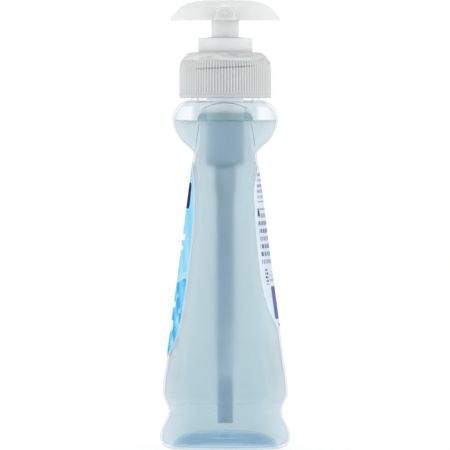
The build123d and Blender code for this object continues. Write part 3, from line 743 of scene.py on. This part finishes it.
def cap_painted_shade(tree, where, x, y, z, shade):
    """Painted shade on the cap: the line of its inner thread showing through the wall, broken up by the ribs,
    darker rib valleys and hem, and streaks over the hollow pocket under its shoulder.

    The thread's line is z = height + climb angle / 2 pi, with angle 0 at the nozzle's side, and it fades out
    towards the front and back. The rib share is 1 in the valleys and falls with cos(count angle).
    """
    angle = add_node(tree, "Math", {0: y, 1: x}, operation="ARCTAN2")
    line = {0: angle, 1: -THREAD_LINE_CLIMB / (2 * math.pi), 2: -THREAD_LINE_HEIGHT}
    line = add_node(tree, "Math", line, operation="MULTIPLY_ADD")
    away = add_node(tree, "Math", {0: z, 1: line}, operation="ADD")
    rib = add_node(tree, "Math", {0: angle, 1: CAP_RIB_COUNT}, operation="MULTIPLY")
    rib = add_node(tree, "Math", {0: rib}, operation="COSINE")
    rib = add_node(tree, "MapRange", {"Value": rib, 1: -1.0, 2: 1.0, 3: 1.0, 4: 0.35})
    patch = add_node(tree, "TexNoise", {"Vector": where, "Scale": 1 / THREAD_PATCH_MM, "Detail": 2.0})
    patch = add_node(tree, "MapRange", {"Value": patch, 1: 0.4, 2: 0.6, 3: 0.6, 4: 1.0})
    ends = add_node(tree, "Math", {0: angle}, operation="COSINE")
    ends = add_node(tree, "Math", {0: ends}, operation="ABSOLUTE")
    ends = add_node(tree, "MapRange", {"Value": ends, 1: 0.72, 2: 0.9})
    # Painted shade: the inner thread's line, on the nozzle's side and at the back
    thread = all_of(tree, within(tree, away, -0.36, 0.36, 0.2), rib, patch, ends)
    # Painted shade in the rib valleys, on the hem, and in streaks over the pocket under the shoulder
    valley = all_of(tree, within(tree, z, CAP_RIB_LOW, CAP_RIB_HIGH, 1.0), rib, 0.7)
    hem = all_of(tree, within(tree, z, CAP_BOTTOM - 3.0, CAP_RIB_LOW + 0.2, 0.3), 0.6)
    flat = add_node(tree, "VectorMath", {0: where, 1: SHOULDER_STREAK_MM}, operation="DIVIDE")
    streak = add_node(tree, "TexNoise", {"Vector": flat, "Scale": 1.0, "Detail": 3.0})
    streak = add_node(tree, "MapRange", {"Value": streak, 1: 0.45, 2: 0.62})
    pocket_shade_streaks = all_of(tree, within(tree, z, 145.6, 150.0, 1.4), streak, 0.6)
    shade = coats(tree, shade, (pocket_shade_streaks, "B2B7B8"), (valley, "A9AEAF"), (hem, "B4B9BA"))
    return coats(tree, shade, (thread, "5C6164"))


def head_glow(tree, z):
    """Light comes through the thin dome, but not through the double skirt."""
    return all_of(tree, within(tree, z, DOME_RIM, 200.0, 0.6), 0.2)


def outlet_light(tree, x, y, z):
    """A painted glow inside the nozzle's bore, for the light that its thin wall lets in. It fades near the
    mouth.
    """
    bore = bar(tree, y, z, (0.0, NOZZLE_BORE_HEIGHT), (3.0, 1.9), 0.9, 0.1)
    return all_of(tree, bore, within(tree, x, -12.0, 24.0, 6.0), 0.5)


def housing_glow(tree, z):
    """Light comes through the wetted part of the barrel."""
    return all_of(tree, within(tree, z, 0.0, LIQUID_LEVEL, 0.6), 0.3)


def housing_light(tree, x, y, z):
    """A painted glow on the dry top of the barrel, for the light that the clear neck gathers onto it."""
    return add_node(tree, "MapRange", {"Value": z, 1: 128.8, 2: 132.4, 3: 0.0, 4: 0.15})


def housing_tints_and_shade(tree, where, x, y, z, shade):
    """The barrel is whitish at the top and has painted shade under the shoulder. Where soap fills it, it is
    bluer for the soap in it and darker as painted shade, and below its tail's top it is lighter.
    """
    # Painted shade under the shoulder, and in the soap more shade than the soap's own tint
    shoulder_shade = add_node(tree, "MapRange", {"Value": z, 1: 131.5, 2: 126.5})
    wet = add_node(tree, "MapRange", {"Value": z, 1: LIQUID_LEVEL + 0.3, 2: LIQUID_LEVEL - 0.3})
    tail = add_node(tree, "MapRange", {"Value": z, 1: BARREL_TAIL_TOP + 0.4, 2: BARREL_TAIL_TOP - 0.4})
    wet_shade = coats(tree, "B5CBD9", (tail, "DCEAF0"))
    return coats(tree, shade, (shoulder_shade, "C0CDD2"), (wet, wet_shade))


def tube_marks(tree, where, x, y, z, shade):
    """The tube is lighter low down, and a round-topped part of it is darker."""
    round_top = bar(tree, y, z, (0, 14.0), (2.7, 12.9), 2.7, 0.3)
    light = all_of(tree, within(tree, z, -1.0, TUBE_LIGHTER_TOP, 0.5), 0.35)
    return coats(tree, shade, (light, "DCE6EE"), (all_of(tree, round_top, 0.7), "A3B9CB"))


def head_painted_shade(tree, where, x, y, z, shade):
    """Painted shade on the head: a dark line round the nozzle's end face, a darker rim round its slot and a
    darker end face, and painted light on the skirt under the dome, which the dome and the collar shade.

    The line is an arch round the nozzle's end face: |y| = half width - lean (z - spring), rounded into its
    top.
    """
    off = add_node(tree, "Math", {0: y}, operation="ABSOLUTE")
    lean = {0: z, 1: NOZZLE_ARCH_LEAN, 2: -NOZZLE_ARCH_HALF_WIDTH - NOZZLE_ARCH_LEAN * NOZZLE_ARCH_SPRING}
    lean = add_node(tree, "Math", lean, operation="MULTIPLY_ADD")
    side = add_node(tree, "Math", {0: off, 1: lean}, operation="ADD")
    top = add_node(tree, "Math", {0: z, 1: NOZZLE_ARCH_TOP}, operation="SUBTRACT")
    arch = add_node(tree, "Math", {0: side, 1: top, 2: 1.0}, operation="SMOOTH_MAX")
    in_front = within(tree, x, NOZZLE_FACE_FROM, 40.0, 2.0)
    # Painted shade: a dark line round the nozzle's end face, and a darker rim round its slot
    line = all_of(tree, within(tree, arch, -0.14, 0.14, 0.2), in_front)
    slot = bar(tree, y, z, NOZZLE_SLOT_CENTRE, (2.5, 0.95), 0.9, 0.2)
    rim = bar(tree, y, z, NOZZLE_SLOT_CENTRE, (2.9, 1.35), 1.2, 0.2)
    ring = add_node(tree, "Math", {0: rim, 1: slot}, operation="SUBTRACT")
    ring = all_of(tree, ring, in_front, 0.4)
    drawn = add_node(tree, "Math", {0: line, 1: ring}, operation="MAXIMUM")
    # Painted shade on the end face, and painted light on the skirt under the dome
    face = all_of(tree, within(tree, arch, -20.0, 0.0, 0.2), in_front)
    skirt = within(tree, z, 100.0, DOME_RIM + 0.2, 0.4)
    return coats(tree, shade, (face, "D6D6D6"), (skirt, "FCFCFC"), (all_of(tree, drawn, 0.6), "A9ADAF"))


def polished_steel():
    """Stainless steel 302, drawn or ground bright: a hard grey mirror with faint draw lines."""
    made, tree, output = new_material("bright_stainless_steel")
    where, x, y, z = places(tree)
    lines = add_node(tree, "TexNoise", {"Vector": where, "Scale": 1 / DRAW_LINES_MM, "Detail": 2.0})
    bump = add_node(tree, "Bump", {"Strength": 0.15, "Distance": 0.00003, "Height": lines})
    metal = {"Base Color": hex_colour("C9C8C4"), "Metallic": 1.0, "Roughness": 0.18, "Normal": bump}
    surface = add_node(tree, "BsdfPrincipled", metal)
    tree.links.new(surface, output.inputs["Surface"])
    return made


def printed_film(name, artwork, through):
    """Printed polypropylene film: satin, with ink over white, and a share of light that comes through it."""
    made, tree, output = new_material(name)
    where, x, y, z = places(tree)
    ink = artwork(tree, where, x, y, z)
    grain = add_node(tree, "TexNoise", {"Vector": where, "Scale": 1 / FILM_GRAIN_MM, "Detail": 2.0})
    bump = add_node(tree, "Bump", {"Strength": 0.1, "Distance": 0.0001, "Height": grain})
    face = add_node(tree, "BsdfDiffuse", {"Color": ink, "Normal": bump})
    glow = add_node(tree, "BsdfTranslucent", {"Color": ink})
    surface = add_node(tree, "MixShader", {0: through, 1: face, 2: glow})
    satin = add_node(tree, "BsdfGlossy", {"Color": hex_colour("FFFFFF"), "Roughness": 0.3, "Normal": bump})
    surface = add_node(tree, "MixShader", {0: 0.03, 1: surface, 2: satin})
    tree.links.new(surface, output.inputs["Surface"])
    return made


def lines_of_bars(tree, x, z, row_height, length):
    """1 on short bars in rows, as small print looks from afar; every row is shifted against the next."""
    across = add_node(tree, "CombineXYZ", {0: x, 1: z})
    ink = {
        "Vector": across,
        "Color1": (1, 1, 1, 1),
        "Color2": (0.75, 0.75, 0.75, 1),
        "Mortar": (0, 0, 0, 1),
        "Scale": 1.0,
        "Mortar Size": row_height * 0.24,
        "Mortar Smooth": 0.1,
        "Brick Width": length,
        "Row Height": row_height,
    }
    return add_node(tree, "TexBrick", ink, offset=0.37, squash=0.6, squash_frequency=3)


def front_artwork(tree, where, x, y, z):
    """Cyan sky over deeper blue waves, with a navy bar, white pills and a pale band; no lettering.

    The sea ends at z = top - 0.9 sin(0.22 x), under its crest, and the film is left pale along its edge.
    """
    height = add_node(tree, "MapRange", {"Value": z, 1: FRONT_FILM_LOW, 2: FRONT_FILM_HIGH})
    waves = {"Vector": where, "Scale": 1 / SWELL_MM, "Distortion": 5.0, "Detail": 2.0, "Detail Scale": 1.2}
    swell = add_node(tree, "TexWave", waves, out="Fac", bands_direction="DIAGONAL")
    sky = coats(tree, "A6DFF2", (height, "86D8EE"), (all_of(tree, swell, 0.45), "C6EDF5"))
    glints = add_node(tree, "TexNoise", {"Vector": where, "Scale": 1 / GLINT_MM, "Detail": 3.0})
    glints = add_node(tree, "MapRange", {"Value": glints, 1: 0.56, 2: 0.64})
    sea = coats(tree, "2CB2E4", (swell, "7FDAF2"), (all_of(tree, glints, 0.8), "CDEBF3"))
    crest = add_node(tree, "Math", {0: x, 1: 0.22}, operation="MULTIPLY")
    crest = add_node(tree, "Math", {0: crest}, operation="SINE")
    crest = add_node(tree, "Math", {0: crest, 1: 0.9, 2: z}, operation="MULTIPLY_ADD")
    in_sea = within(tree, crest, 0.0, SEA_TOP, 0.4)
    on_crest = within(tree, crest, SEA_TOP, CREST_TOP, 0.3)
    ink = coats(tree, sky, (in_sea, sea), (on_crest, "B9E4EE"))
    printed = bar(tree, x, z, PRINT_CENTRE, PRINT_HALF_SIZE, PRINT_CORNER, PRINT_FADE)
    ink = coats(tree, "D3DDE4", (printed, ink))
    for centre, half_size, corner, colour in (
        ((0, 96), (14.6, 4.9), 2.6, "00186E"),
        ((0, 80.2), (12, 1.2), 1.2, "F4FAFB"),
        ((0, 76.2), (10.5, 0.8), 0.8, "EAF6F4"),
        ((0, 54.6), (10, 1.1), 1.1, "F2FAFC"),
        ((0, 46.6), (11, 2.1), 2.1, "E6F5F8"),
    ):
        ink = coats(tree, ink, (bar(tree, x, z, centre, half_size, corner), colour))
    return ink


def back_artwork(tree, where, x, y, z):
    """A white field with rows of short blue bars, two dark marks and one solid blue bar; no lettering."""
    clouds = add_node(tree, "TexNoise", {"Vector": where, "Scale": 1 / INK_CLOUD_MM, "Detail": 2.0})
    ink = coats(tree, "F7F9FA", (clouds, "EDF2F7"))
    for row_height, length, (left, right), (low, high), strength, colour in (
        (2.1, 3.4, (-20.5, 20.5), (93.4, 105.2), 0.8, "7C89BC"),
        (2.9, 4.4, (-21.5, 21.5), (69.4, 91.2), 0.9, "5E70B2"),
        (1.8, 2.2, (-14.0, 14.0), (62.6, 67.2), 0.7, "6A77B4"),
        (1.4, 3.6, (15.6, 19.4), (62.4, 68.4), 1.0, "16246C"),
    ):
        rows = lines_of_bars(tree, x, z, row_height, length)
        block = all_of(tree, within(tree, x, left, right, 0.3), within(tree, z, low, high, 0.2))
        ink = coats(tree, ink, (all_of(tree, rows, block, strength), colour))
    for centre, half_size, corner, colour in (
        ((20.0, 89.4), (1.4, 1.1), 0.4, "33439A"),
        ((0, 55.4), (13.6, 6.2), 1.2, "8390C8"),
        ((0, 47.0), (7, 0.6), 0.5, "6674B0"),
    ):
        ink = coats(tree, ink, (bar(tree, x, z, centre, half_size, corner), colour))
    return ink


def dress(node, material):
    """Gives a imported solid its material."""
    mesh = nodes[node].data
    mesh.materials.clear()
    mesh.materials.append(material)


def add_piece(piece, body, slot, material, *stands_for):
    """Gives a new piece its material and body, and hides the solids that it stands for. Its slot is not used.
    """
    piece.data.materials.append(material)
    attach(piece, body)
    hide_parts(*stands_for)


add_piece(bottle_shell(), "bottle", "clear_pet", clear_pet(), "bottle")
add_piece(soap_fill(), "bottle", "blue_soap", blue_soap(), "liquid_soap")

# Films on the front and back: less light comes through the front one's heavier print
front_film = film_label(
    "front_film_label",
    half_width=24.0,
    low=FRONT_FILM_LOW,
    high=FRONT_FILM_HIGH,
    low_corner=19.0,
    high_corner=15.0,
    side=-1,
)
add_piece(front_film, "bottle", "front_film", printed_film("front_print", front_artwork, 0.4), "front_label")

back_film = film_label(
    "back_film_label", half_width=25.0, low=45.0, high=107.0, low_corner=20.0, high_corner=12.0, side=1
)
add_piece(back_film, "bottle", "back_film", printed_film("back_print", back_artwork, 0.6), "back_label")

# Translucent polypropylene, moulded with ribs: dull grey-white, with painted shade for the thread inside,
# the rib valleys, the hem and the pocket under the shoulder
cap_plastic = moulded_plastic(
    "cap_polypropylene", "E9EBEA", 0.4, 0.35, 0.3, soak=(0.6, 2.5), through=0.2, marks=cap_painted_shade
)
add_piece(cap_moulding(), "cap", "cap_polypropylene", cap_plastic, "screw_cap")

spring_low, spring_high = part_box("return_spring")
spring = coil_spring(
    "wound_spring", spring_low.z / MM, spring_high.z / MM, mean_radius=4.0, wire=0.8, turns=7.0
)
add_piece(spring, "pump", "spring_steel", polished_steel(), "return_spring")
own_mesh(spring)

# Translucent polypropylene, moulded: milky, so the dome glows where its wall is thin
# Its colour carries painted shade round the nozzle and painted light on the skirt; its bore has a painted
# glow
head_plastic = moulded_plastic(
    "natural_polypropylene",
    "E1E2E2",
    0.36,
    0.35,
    0.25,
    soak=(0.8, 4.0),
    through=head_glow,
    marks=head_painted_shade,
    lit=outlet_light,
)
dress("pump_head", head_plastic)

# Translucent polypropylene from a satin mould: a brighter white than the cap's
collar_plastic = moulded_plastic(
    "collar_polypropylene", "EEEFEF", 0.38, 0.35, 0.25, soak=(0.8, 3.0), through=0.2
)
dress("collar", collar_plastic)

# Natural polypropylene, moulded: cloudy, and tinted by the soap that it stands in
# Its colour carries painted shade under the shoulder and in the soap, and a painted glow on its dry top
housing_plastic = moulded_plastic(
    "housing_polypropylene",
    "F6F8FA",
    0.45,
    0.4,
    0.2,
    through=housing_glow,
    marks=housing_tints_and_shade,
    lit=housing_light,
)
dress("pump_housing", housing_plastic)

# Translucent polyethylene, extruded: waxy and cloudy
tube_plastic = moulded_plastic(
    "tube_polyethylene", "D6E3EE", 0.4, 0.5, 0.15, through=0.15, marks=tube_marks
)
dress("dip_tube", tube_plastic)

# Natural polypropylene from a plain mould, for the pieces inside the pump
dress("stem_tube", moulded_plastic("stem_polypropylene", "DDDFE0", 0.4, 0.4, 0.2))
inner_plastic = moulded_plastic("inner_polypropylene", "E4E6E6", 0.45, 0.4, 0.2)
dress("spring_cage", inner_plastic)
dress("piston_rod", inner_plastic)

# Soft polyethylene: the seal is moulded, a duller and warmer white, and the gasket is foamed, a dull grey
dress("piston_seal", moulded_plastic("piston_polyethylene", "E8E8E4", 0.5, 0.5, 0.2))
dress("neck_gasket", moulded_plastic("soft_gasket", "D5D7D6", 0.7, 0.3, 0.4))

# Steel for the two valve balls
for ball in ("inlet_ball", "outlet_ball"):
    dress(ball, polished_steel())


def shown_to_viewer(tree):
    """1 for rays from the camera and for what it sees through clear things or mirrored in glossy ones."""
    ray = add_node(tree, "LightPath").node.outputs
    clear = {0: ray["Is Camera Ray"], 1: ray["Is Transmission Ray"]}
    seen = add_node(tree, "Math", clear, operation="MAXIMUM")
    return add_node(tree, "Math", {0: seen, 1: ray["Is Glossy Ray"]}, operation="MAXIMUM")


# Floor and world: both white to the camera, plain and softer for the light that they give
FLOOR_HALF = 1.5
FLOOR_DROP = 0.0001
floor_mesh = bpy.data.meshes.new("floor")
floor_corners = [(sx * FLOOR_HALF, sy * FLOOR_HALF, 0) for sx, sy in ((-1, -1), (1, -1), (1, 1), (-1, 1))]
floor_mesh.from_pydata(floor_corners, [], [(0, 1, 2, 3)])
floor = bpy.data.objects.new("floor", floor_mesh)
scene.collection.objects.link(floor)
floor.location.z = min(0.0, cad_box[0].z) - FLOOR_DROP
floor_material, tree, output = new_material("pale_floor")
paper = add_node(tree, "BsdfDiffuse", {"Color": hex_colour("F2F2F2")})
white = add_node(tree, "Emission", {"Color": hex_colour("FFFFFF"), "Strength": 1.01})
metres = add_node(tree, "TexCoord", out="Object")
away = add_node(tree, "VectorMath", {0: metres}, out="Value", operation="LENGTH")
ranged = {"Value": away, 1: 0.05, 2: 0.6, 3: 0.8, 4: 1.0}
whiter = add_node(tree, "MapRange", ranged, interpolation_type="SMOOTHSTEP")
share = all_of(tree, shown_to_viewer(tree), whiter)
tree.links.new(add_node(tree, "MixShader", {0: share, 1: paper, 2: white}), output.inputs["Surface"])
floor_mesh.materials.append(floor_material)

world = bpy.data.worlds.new("studio")
scene.world = world
world.use_nodes = True
tree = world.node_tree
tree.nodes.clear()
output = tree.nodes.new("ShaderNodeOutputWorld")
room = add_node(tree, "Background", {"Color": hex_colour("FFFFFF"), "Strength": 0.85})
backdrop = add_node(tree, "Background", {"Color": hex_colour("FFFFFF"), "Strength": 1.0})
mixed = add_node(tree, "MixShader", {0: shown_to_viewer(tree), 1: room, 2: backdrop})
tree.links.new(mixed, output.inputs["Surface"])


def soft_lamp(name, place, size, watts):
    """A square area lamp that faces the middle of the bottle."""
    data = bpy.data.lights.new(name, "AREA")
    data.size = size
    data.energy = watts
    made = bpy.data.objects.new(name, data)
    scene.collection.objects.link(made)
    made.location = place
    made.rotation_mode = "QUATERNION"
    made.rotation_quaternion = (Vector((0, 0, 0.09)) - made.location).to_track_quat("-Z", "Y")
    made.visible_camera = False
    made.visible_glossy = False
    made.visible_transmission = False


LAMP_SIZE = 0.6
soft_lamp("left_soft_light", (0.15, -0.75, 0.25), LAMP_SIZE, 2.7)
soft_lamp("right_soft_light", (0.15, 0.75, 0.25), LAMP_SIZE, 2.7)
soft_lamp("top_soft_light", (-0.1, 0, 0.95), LAMP_SIZE, 1.2)
soft_lamp("front_soft_light", (1.1, 0, 0.25), LAMP_SIZE, 2.2)

# Camera: near-parallel view of the narrow side from a touch above the level, lengths in millimetres
VIEW_WIDTH = 171.0
LENS = 1200.0
SENSOR = 36.0
ELEVATION = math.radians(0.8)
view_centre = Vector((0, -0.1 * MM, 84.66 * MM))
distance = VIEW_WIDTH * LENS / SENSOR * MM
camera_data = bpy.data.cameras.new("camera")
camera_data.lens = LENS
camera_data.sensor_width = SENSOR
camera_data.clip_start = 0.1
camera_data.clip_end = 40.0
camera = bpy.data.objects.new("camera", camera_data)
scene.collection.objects.link(camera)
back = Vector((math.cos(ELEVATION), 0, math.sin(ELEVATION)))
camera.location = view_centre + back * distance
camera.rotation_mode = "QUATERNION"
camera.rotation_quaternion = back.to_track_quat("Z", "Y")
scene.camera = camera

scene.view_settings.view_transform = "Standard"

# Light passes many clear walls: the bottle's, the soap's and the films', one behind another
scene.cycles.transparent_max_bounces = 24
scene.cycles.max_bounces = 24
scene.cycles.transmission_bounces = 20
